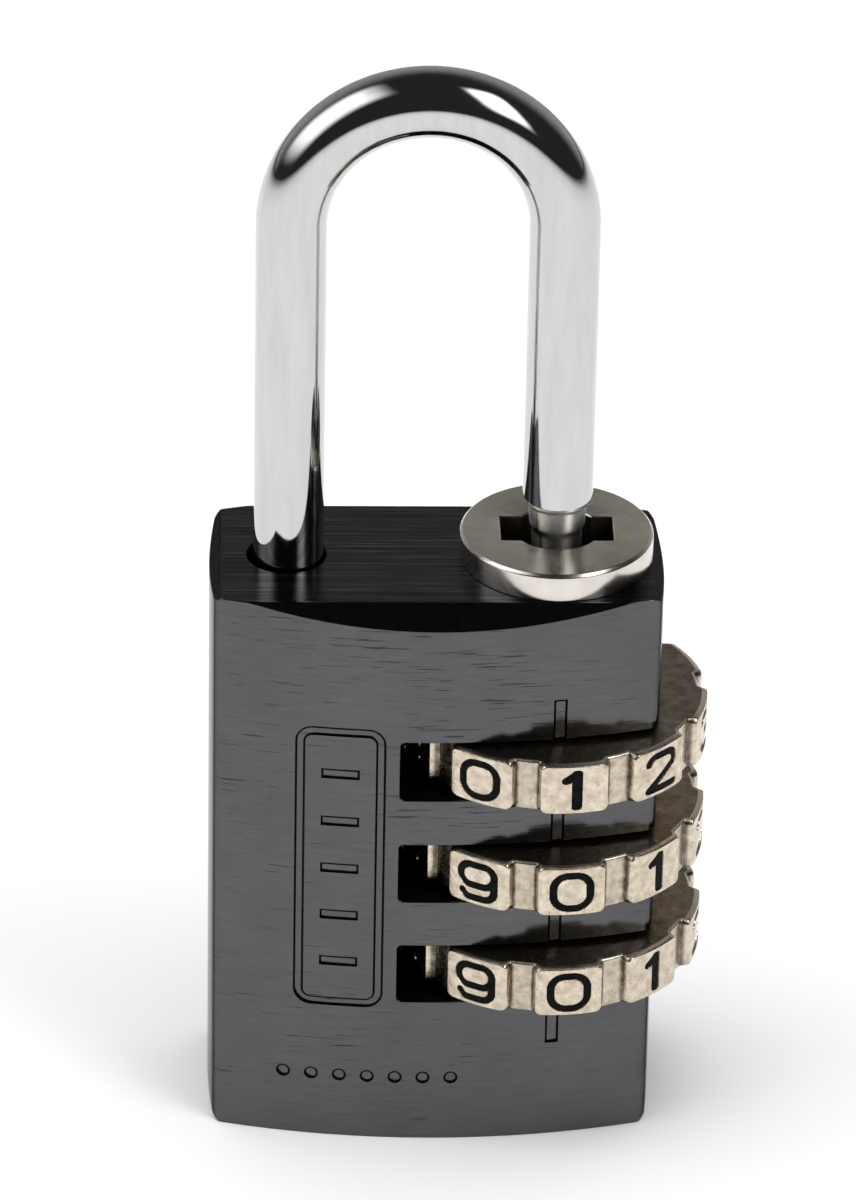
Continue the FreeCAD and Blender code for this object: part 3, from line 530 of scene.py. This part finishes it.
# The digits' centre lines, in half heights
DIGITS = {
    0: rounded_loop(0, 0, 1, 1, 0.8),
    1: [line(0.02, -1, 0.02, 1), line(0.18, -1, 0.18, 1), line(0.1, 1, -0.5, 0.58),
        line(0.1, 0.75, -0.5, 0.58)],
    2: [arc(-0.35, 0.4, 0.6, 90, 70), line(-0.35, 1, 0.45, 1), arc(0.45, 0.55, 0.45, -50, 140),
        line(0.74, 0.21, -0.9, -1), line(-0.9, -1, 0.95, -1)],
    3: [arc(-0.4, 0.55, 0.45, 90, 70), line(-0.4, 1, 0.45, 1), arc(0.45, 0.5, 0.5, -90, 180),
        line(-0.2, 0, 0.45, 0), arc(0.45, -0.5, 0.5, -90, 180), line(-0.4, -1, 0.45, -1),
        arc(-0.4, -0.55, 0.45, 200, 70)],
    4: [line(0.45, -1, 0.45, 1), line(0.45, 1, -0.95, -0.4), line(-0.95, -0.4, 0.95, -0.4)],
    5: [line(0.85, 1, -0.75, 1), line(-0.75, 1, -0.85, 0.15), line(-0.85, 0.15, 0.42, 0.15),
        arc(0.42, -0.425, 0.575, -90, 180), line(0.42, -1, -0.45, -1),
        arc(-0.45, -0.55, 0.45, 200, 70)],
    6: rounded_loop(0, -0.38, 1, 0.62, 0.62)
    + [line(-1, -0.38, -1, 0.45), arc(-0.45, 0.45, 0.55, 90, 90), line(-0.45, 1, 0.45, 1),
       arc(0.45, 0.55, 0.45, 20, 70)],
    7: [line(-0.9, 1, 0.9, 1), line(0.9, 1, -0.25, -1)],
    8: rounded_loop(0, 0.52, 0.85, 0.48, 0.48) + rounded_loop(0, -0.48, 1, 0.52, 0.52),
    9: rounded_loop(0, 0.38, 1, 0.62, 0.62)
    + [line(1, 0.38, 1, -0.45), arc(0.45, -0.45, 0.55, -90, 90), line(0.45, -1, -0.45, -1),
       arc(-0.45, -0.55, 0.45, 200, 70)],
}


def stroke_distance(stroke, x, z):
    """Distance from points to one stroke's centre line, in the stroke's own units."""
    if stroke[0] == "line":
        x1, z1, x2, z2 = stroke[1:]
        length = max((x2 - x1) ** 2 + (z2 - z1) ** 2, 1e-9)
        share = np.clip(((x - x1) * (x2 - x1) + (z - z1) * (z2 - z1)) / length, 0, 1)
        return np.hypot(x - x1 - share * (x2 - x1), z - z1 - share * (z2 - z1))
    centre_x, centre_z, radius, start, sweep = stroke[1:]
    turn = np.degrees(np.arctan2(z - centre_z, x - centre_x)) - start
    past = (turn + 180 - sweep / 2) % 360 - 180 + sweep / 2
    nearest = np.radians(start + np.clip(past, 0, sweep))
    return np.hypot(x - centre_x - radius * np.cos(nearest), z - centre_z - radius * np.sin(nearest))


def rim_radius(turn, z, half_height, front_digit):
    """The rim's radius at each (angle, height), and how much grime, paint and painted shade it gets there,
    from 0 to 1.

    The radius follows the pads with their rounded corners, the grooves and the digit channels."""
    pad = np.round((turn + 90 - DIAL_TURN) / PAD_ANGLE)
    off = turn + 90 - DIAL_TURN - pad * PAD_ANGLE
    along = DIAL_RADIUS * np.radians(off)
    side = np.abs(along) - (PAD_HALF_ARC - PAD_CORNER)
    rise = np.abs(z) - (half_height - PAD_CORNER)
    past_wall = np.hypot(np.maximum(side, 0), np.maximum(rise, 0)) - PAD_CORNER
    past_wall += np.minimum(np.maximum(side, rise), 0)
    depth = GROOVE_DEPTH * ease(past_wall, *GROOVE_WALL)
    # Painted shade with some grime: darkest on a groove's walls, lighter on its floor.
    grime_paint_and_shade = ease(past_wall, -0.01, 0.07) * (1 - 0.75 * ease(past_wall, 0.11, 0.24))
    x, height = DIAL_RADIUS * np.sin(np.radians(off)) / DIGIT_HALF, z / DIGIT_HALF
    for digit, strokes in DIGITS.items():
        here = (pad + front_digit) % 10 == digit
        nearest = np.min([stroke_distance(stroke, x, height) for stroke in strokes], axis=0)
        wall = ease(nearest * DIGIT_HALF, *CHANNEL_WALL)
        depth = depth + np.where(here, CHANNEL_DEPTH * (1 - wall), 0)
        # In a digit's channel the darkening stands for the paint that fills its walls.
        grime_paint_and_shade = np.maximum(grime_paint_and_shade, np.where(here, 1.2 * (1 - wall), 0))
    into = np.clip(np.abs(z) - (half_height - RIM_EDGE), 0, RIM_EDGE)
    depth = depth + RIM_EDGE - np.sqrt(RIM_EDGE ** 2 - into ** 2)
    return DIAL_RADIUS - depth, np.clip(grime_paint_and_shade, 0, 1)


def bore_radius(turn, above):
    """The hole through a dial: ten notches above, and a plain relief below."""
    if not above:
        return np.full_like(turn, DIAL_RELIEF)
    off = (turn + 90 + PAD_ANGLE / 2) % PAD_ANGLE - PAD_ANGLE / 2
    reach = NOTCH_WIDTH / 2 / np.maximum(np.abs(np.sin(np.radians(off))), 1e-6)
    return np.clip(reach, DIAL_BORE, NOTCH_RADIUS)


def dial(name):
    """A die-cast number wheel, with its digits sunk into the pads for the paint."""
    low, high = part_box("dial_" + name)
    half_height = (high.z - low.z) / 2 / MM
    centre_z = (high.z + low.z) / 2 / MM
    columns = int(COLUMNS_PER_PAD * 360 / PAD_ANGLE)
    turn = np.arange(columns) * 360 / columns - 180.0
    edge = half_height - RIM_EDGE
    upper_edge = edge + RIM_EDGE * np.sin(np.linspace(0, math.pi / 2, 6))
    heights = np.concatenate([-upper_edge[::-1], np.linspace(-edge, edge, RIM_ROWS)[1:-1], upper_edge])
    rim, grime_paint_and_shade = rim_radius(turn[None, :], heights[:, None], half_height, FRONT_DIGIT[name])
    sides = [rim[-1] - inset for inset in SIDE_RINGS]
    notched, relief = bore_radius(turn, True), bore_radius(turn, False)
    rows = list(zip(rim, heights))
    rows += [(side, half_height) for side in sides]
    rows += [(notched, half_height), (notched, NOTCH_FLOOR), (relief, NOTCH_FLOOR), (relief, -half_height)]
    rows += [(side, -half_height) for side in reversed(sides)]
    cos, sin = np.cos(np.radians(turn)), np.sin(np.radians(turn))
    points = np.array([np.stack([AXIS_X / MM + radius * cos, radius * sin,
                                 np.full(columns, centre_z + height)], axis=1)
                       for radius, height in rows])
    zones = np.ones(len(rows), int)
    zones[:len(heights) - 1] = 0
    mesh = loop_grid("dial_%s_wheel" % name, points, zones, sharp=38)
    # Wear and a painted highlight on the rim's rounded top and bottom edges.
    worn_and_highlit = np.broadcast_to(ease(np.abs(heights)[:, None], edge + 0.04, edge + 0.12), grime_paint_and_shade.shape)
    for label, values in (("grime_paint_and_shade", grime_paint_and_shade), ("edge_wear_and_highlight", worn_and_highlit)):
        whole = np.zeros((len(rows), columns), np.float32)
        whole[:len(heights)] = values
        mesh.attributes.new(label, "FLOAT", "POINT").data.foreach_set("value", whole.reshape(-1))
    piece = link_mesh("dial_%s_wheel" % name, mesh, name + "_dial", RIM, FLAT)
    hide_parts("dial_" + name)


# ------------------------------------------------------------------ shackle

SHORT_END, END_CUT = 23.9, 0.3      # mm: the short leg's lower end, and its chamfer
ROD_END, SHOULDER = 30.3, 30.07     # where the plating and the long leg's full width end
NECK = ((1.3, 29.9), (1.22, 28.85))     # radius and height of the neck's upper and lower end
NECK_FOOT = 28.6
TURNED_STEPS = (                    # radius and lower end of each step under the neck
    (1.1, 21.88),                   # stem
    (0.85, 21.32),                  # groove for the clip
    (1.1, 4.12),                    # stem with the lugs
    (0.8, 3.66),                    # tip in the spring's cup
    (1.15, 3.42),                   # riveted head
)
LUG_RADIUS, LUG_HALF_WIDTH = 2.3, 0.95
LUG_BOTTOM, LUG_TOP = -1.85, -0.75  # from the middle of its dial


def tube(name, path, zones):
    """Sweeps a circle along (centre, direction, radius) rows. The directions lie in the XZ plane."""
    turn = np.linspace(0, 2 * math.pi, 96, endpoint=False)
    across = np.array([0.0, 1.0, 0.0])
    rows = []
    for centre, direction, radius in path:
        side = np.cross(across, direction)
        rows.append(np.array(centre) + radius * (np.outer(np.cos(turn), side)
                                                 + np.outer(np.sin(turn), across)))
    return loop_grid(name, np.array(rows), zones, close_rows=False, sharp=35)


def turned_profile(rod):
    """The long leg from above its shoulder down, as (radius, height) corners."""
    corners = [(rod, ROD_END), (rod, SHOULDER), *NECK]
    top = NECK_FOOT
    for radius, bottom in TURNED_STEPS:
        corners += [(radius, top), (radius, bottom)]
        top = bottom
    return corners + [(radius - 0.3, bottom)]


def shackle():
    """One bent rod: short leg, bow and long leg, then the turned stem with a lug for each dial."""
    low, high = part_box("shackle")
    rod = high.y / MM
    short_x, long_x = low.x / MM + rod, AXIS_X / MM
    bow_radius = (long_x - short_x) / 2
    bow_x, bow_z = (long_x + short_x) / 2, high.z / MM - rod - bow_radius
    up, down = np.array([0.0, 0.0, 1.0]), np.array([0.0, 0.0, -1.0])
    chamfer = ((0, END_CUT + 0.15), (0.02, END_CUT), (END_CUT, 0.02), (END_CUT + 0.1, 0))
    path = [((short_x, 0, SHORT_END + rise), up, rod - inset) for rise, inset in chamfer]
    path += [((short_x, 0, z), up, rod) for z in np.linspace(SHORT_END + 1, bow_z, 40)]
    for turn in np.linspace(math.pi, 0, 97)[1:-1]:
        out = np.array([math.cos(turn), 0, math.sin(turn)])
        path.append((np.array([bow_x, 0, bow_z]) + bow_radius * out,
                     np.array([math.sin(turn), 0, -math.cos(turn)]), rod))
    path += [((long_x, 0, z), down, rod) for z in np.linspace(bow_z, ROD_END, 30)]
    plated = len(path)
    path += [((long_x, 0, z), down, radius) for radius, z in rounded(turned_profile(rod), 0.1)[1:]]
    zones = [0] * plated + [1] * (len(path) - 1 - plated)
    mesh = tube("shackle_rod", path, zones)
    add_lugs(mesh)
    piece = link_mesh("shackle_rod", mesh, "shackle_assembly", CHROME, STEM)
    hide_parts("shackle")


def add_lugs(mesh):
    """Three flat-sided lugs on the stem, each under the keyed web of its clutch."""
    edge = math.asin(LUG_HALF_WIDTH / LUG_RADIUS)
    turns = [side + turn for side in (0, math.pi) for turn in np.linspace(-edge, edge, 14)]
    outline = [Vector((math.cos(turn), math.sin(turn), 0)) * LUG_RADIUS * MM for turn in turns]
    form = bmesh.new()
    form.from_mesh(mesh)
    for name in DIALS:
        foot = Vector((AXIS_X, 0, middle("dial_" + name).z + LUG_BOTTOM * MM))
        floor = form.faces.new([form.verts.new(foot + corner) for corner in outline])
        floor.material_index = 1
        lifted = bmesh.ops.extrude_face_region(form, geom=[floor])["geom"]
        moved = [item for item in lifted if isinstance(item, bmesh.types.BMVert)]
        bmesh.ops.translate(form, verts=moved, vec=(0, 0, (LUG_TOP - LUG_BOTTOM) * MM))
    bmesh.ops.recalc_face_normals(form, faces=form.faces)
    form.to_mesh(mesh)
    form.free()
    mesh.set_sharp_from_angle(angle=math.radians(35))


# ------------------------------------------------------------------ bush

FLANGE_CHAMFER = 0.14               # mm, as every size below
SPIGOT_RADIUS = 3.335
CHAMBER_RADIUS, CHAMBER_TOP = 2.6, 25.9
HOLE_RADIUS = 1.875
NOTCH_REACH, NOTCH_OPENING = 2.475, 2.15


def keyhole_radius(turn):
    """A round hole with a square-ended notch on each side along X."""
    across = np.maximum(np.abs(np.sin(turn)), 1e-6)
    along = np.maximum(np.abs(np.cos(turn)), 1e-6)
    return np.maximum(HOLE_RADIUS, np.minimum(NOTCH_REACH / along, NOTCH_OPENING / 2 / across))


def keyhole_turns():
    """Even steps round the hole, and close ones where a notch has a corner."""
    corner = math.atan2(NOTCH_OPENING / 2, NOTCH_REACH)
    mouth = math.asin(NOTCH_OPENING / 2 / HOLE_RADIUS)
    near = [corner - 0.012, corner, corner + 0.012, mouth - 0.01, mouth, mouth + 0.01]
    marks = [sign * angle + half for half in (0, math.pi) for sign in (-1, 1) for angle in near]
    even = np.linspace(0, 2 * math.pi, 240, endpoint=False)
    return np.unique(np.concatenate([even, np.mod(marks, 2 * math.pi)]))


def bush():
    """Nickel sleeve round the long leg: chamfered flange, keyed hole and the spigot in the body."""
    top, flange_low, low = BUSH_HIGH.z / MM, BODY_HIGH.z / MM, BUSH_LOW.z / MM
    flange = BUSH_HIGH.y / MM
    turn = keyhole_turns()
    keyed = keyhole_radius(turn)
    outer = rounded([(CHAMBER_RADIUS, low), (SPIGOT_RADIUS, low), (SPIGOT_RADIUS, flange_low),
                     (flange, flange_low), (flange, top - FLANGE_CHAMFER),
                     (flange - FLANGE_CHAMFER, top), (flange - 0.9, top)], 0.05)
    rows = [(np.full_like(turn, radius), z) for radius, z in outer]
    rows += [(keyed + 0.08, top), (keyed + 0.05, top - 0.01), (keyed, top - 0.06), (keyed, CHAMBER_TOP),
             (np.full_like(turn, CHAMBER_RADIUS), CHAMBER_TOP - 0.001)]
    points = np.array([np.stack([AXIS_X / MM + radius * np.cos(turn), radius * np.sin(turn),
                                 np.full_like(turn, z)], axis=1) for radius, z in rows])
    face, rim, notch = range(3)
    zones = np.full(len(rows), rim)
    for row in range(len(rows) - 1):
        if min(rows[row][1], rows[row + 1][1]) > top - 0.011:
            zones[row] = face
    # Painted shade: from just under the hole's lip down, the walls and the chamber's ceiling take the
    # darkened nickel; the round part of the hole goes back to the rim's nickel below.
    zones[len(outer) + 2:] = notch
    mesh = loop_grid("top_bush_sleeve", points, zones)
    for polygon in mesh.polygons:
        from_axis = math.hypot(polygon.center.x - AXIS_X, polygon.center.y) / MM
        if polygon.material_index == notch and from_axis < HOLE_RADIUS + 0.01:
            polygon.material_index = rim
    piece = link_mesh("top_bush_sleeve", mesh, "case", BUSH_TOP, BUSH_RIM, BUSH_NOTCH_SHADED)
    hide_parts("top_bush")


# ------------------------------------------------------------------ body

FACE_RADIUS = 35.1                  # mm, the crown of the front and back, seen from above
SIDE_RADIUS = 29.0                  # the same for the two sides
ENGRAVING = 0.13                    # how deep it is
LEVEL_SLACK = 0.02                  # how near to a level counts as on it
CROWN_SLACK = 0.015                 # how near to a crowned surface counts as on it
BROKEN_EDGE = 0.06                  # how far an edge is cut back
CORNER_ANGLE = math.radians(25)     # from here on an edge is a corner
TOP_BAND, BASE_BAND = 0.1, 1.2      # the ends' flat faces lie within these of the top and the base
SLOPE_BAND = 1.5                    # the top's slopes lie within this of the top
INNER_X, INNER_Y = 8.8, 3.6         # the outer walls lie further out than these
# GROOVED and CUT faces carry painted shade: near black on the engraving's walls and inside the slots and
# bores.
BRUSHED, SAWN, MILLED, GROOVED, CUT = range(5)      # finishes, in the order of the shell's materials


def body_shell():
    """The CAD body with its edges broken, and a finish for each kind of face."""
    mesh = NODES["lock_body"].data.copy()
    mesh.materials.clear()
    form = bmesh.new()
    form.from_mesh(mesh)
    bmesh.ops.remove_doubles(form, verts=form.verts, dist=0.001 * MM)
    bmesh.ops.dissolve_limit(form, angle_limit=math.radians(0.5), verts=form.verts, edges=form.edges)
    for face in form.faces:
        face.smooth = True
        face.material_index = finish(face)
    slope_engraving(form)
    corners = [edge for edge in form.edges if edge.calc_face_angle(0) > CORNER_ANGLE
               and all(face.material_index != GROOVED for face in edge.link_faces)]
    broken = bmesh.ops.bevel(form, geom=corners, offset=BROKEN_EDGE * MM, offset_type="OFFSET",
                             segments=2, profile=0.5, affect="EDGES", clamp_overlap=False,
                             material=MILLED)["faces"]
    normals = corner_normals(form, set(broken))
    form.to_mesh(mesh)
    form.free()
    mesh.normals_split_custom_set(normals)
    piece = link_mesh("lock_body_shell", mesh, "case", FACE, TOP, PLAIN, GROOVE, INSIDE)
    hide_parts("lock_body")


def finish(face):
    """Which of the body's finishes a face has, from where it lies and which way it faces."""
    normal, place = face.normal, face.calc_center_median()
    depths = [depth_below_face(vertex.co) for vertex in face.verts]
    if min(depths) < LEVEL_SLACK and abs(max(depths) - ENGRAVING) < LEVEL_SLACK:
        return GROOVED
    under_top, over_base = (BODY_HIGH.z - place.z) / MM, (place.z - BODY_LOW.z) / MM
    if abs(normal.z) > 0.95 and (under_top < TOP_BAND or over_base < BASE_BAND):
        return SAWN
    far_out = abs(place.x) > INNER_X * MM or abs(place.y) > INNER_Y * MM
    facing_out = normal.x * place.x + normal.y * place.y > 0
    if abs(normal.z) < 0.1 and far_out and facing_out:
        return BRUSHED
    return CUT if under_top > SLOPE_BAND else MILLED


def slope_engraving(form):
    """Draws the engraving's floor in from its walls, so that they lean. Those facing down lean most."""
    moves = {}
    for vertex in form.verts:
        walls = []
        for face in vertex.link_faces:
            if face.material_index == GROOVED and all(face.normal.dot(known) < 0.999 for known in walls):
                walls.append(face.normal.copy())
        if walls and depth_below_face(vertex.co) > ENGRAVING - LEVEL_SLACK:
            leans = [(0.10 - 0.06 * wall.z) * MM for wall in walls]
            moves[vertex] = Vector(np.linalg.lstsq(np.array(walls), np.array(leans), rcond=0.05)[0])
    for vertex, move in moves.items():
        vertex.co += move


def corner_normals(form, broken):
    """A normal for each corner of each face: exact on the crowned walls, shared over broken edges."""
    exact = {face: crown_of(face) for face in form.faces}
    same_surface = math.cos(CORNER_ANGLE)
    normals = []
    for face in form.faces:
        for corner in face.loops:
            place = corner.vert.co
            near = [other for other in corner.vert.link_faces if other not in broken
                    and (face in broken or other.normal.dot(face.normal) > same_surface)]
            near = near or [other for other in corner.vert.link_faces if other in broken]
            total = Vector()
            for other in near:
                total += exact[other](place) if exact[other] else other.normal
            normals.append(total.normalized())
    return normals


def crown_of(face):
    """The function that gives the exact normal on this face, or None where it is on no crowned wall."""
    places = [vertex.co for vertex in face.verts]
    depths = [depth_below_face(place) for place in places]
    for level in (0, ENGRAVING):
        if all(abs(depth - level) < CROWN_SLACK for depth in depths):
            return front_normal
    if all(abs(depth_below_face(flipped(place))) < CROWN_SLACK for place in places):
        return back_normal
    if all(abs(from_side_axis(place).length - SIDE_RADIUS) < CROWN_SLACK for place in places):
        return side_normal
    return None


def depth_below_face(place):
    """How deep a place lies under the crowned front, in mm."""
    centre_y = BODY_LOW.y / MM + FACE_RADIUS
    return FACE_RADIUS - math.hypot(place.x / MM, place.y / MM - centre_y)


def from_side_axis(place):
    """The way to a place from the axis of the nearer side's crown, seen from above, in mm."""
    across = (abs(place.x) - BODY_HIGH.x) / MM + SIDE_RADIUS
    return Vector((math.copysign(across, place.x), place.y / MM, 0))


def flipped(place):
    """The same place or direction on the other side, front to back."""
    return Vector((place.x, -place.y, place.z))


def front_normal(place):
    across = place.x / MM / FACE_RADIUS
    return Vector((across, -math.sqrt(1 - across * across), 0))


def back_normal(place):
    return flipped(front_normal(place))


def side_normal(place):
    return from_side_axis(place).normalized()


# ------------------------------------------------------------------ the scene, its materials and pieces

add_camera()
add_studio()

FACE, TOP, PLAIN = anodised_face(), anodised_top(), anodised_plain()
CHROME = chrome()
RIM, FLAT = cast_nickel(), cast_nickel_flat()
PAINT = black_paint()
GROOVE, INSIDE = engraved_wall(), slot_wall()
BUSH_TOP = turned_nickel("bush_face", (0.56, 0.52, 0.45), (0.72, 0.68, 0.60), 0.26,
                         ring_depth=0.004, anisotropy=0.8)
BUSH_RIM = turned_nickel("bush_rim", (0.62, 0.58, 0.54), (0.74, 0.70, 0.65), 0.17)
# The keyhole's notches and the chamber's ceiling: the same turned nickel, darkened as painted shade.
BUSH_NOTCH_SHADED = turned_nickel("bush_notch_shaded", (0.12, 0.11, 0.09), (0.18, 0.165, 0.14), 0.3)
STEM = turned_nickel("turned_stem", (0.74, 0.725, 0.70), (0.84, 0.83, 0.81), 0.3, anisotropy=0.85)
BRASS = plain_metal("clutch_brass", (0.55, 0.42, 0.20), (0.72, 0.57, 0.30), 0.3)
STEEL = plain_metal("plain_steel", (0.40, 0.40, 0.41), (0.58, 0.58, 0.58), 0.25)
SPRING = plain_metal("spring_steel", (0.30, 0.30, 0.32), (0.48, 0.48, 0.50), 0.22)

body_shell()
bush()
shackle()
for name in DIALS:
    dial(name)
    dress("numerals_" + name, PAINT)
    dress("clutch_" + name, BRASS)
for name in ("clutch_washer", "spring_cup", "bush_pin"):
    dress(name, STEEL)
for name in ("clutch_spring", "shackle_spring", "retaining_clip", "detent_leaf"):
    dress(name, SPRING)
dress("detent_plug", PLAIN)
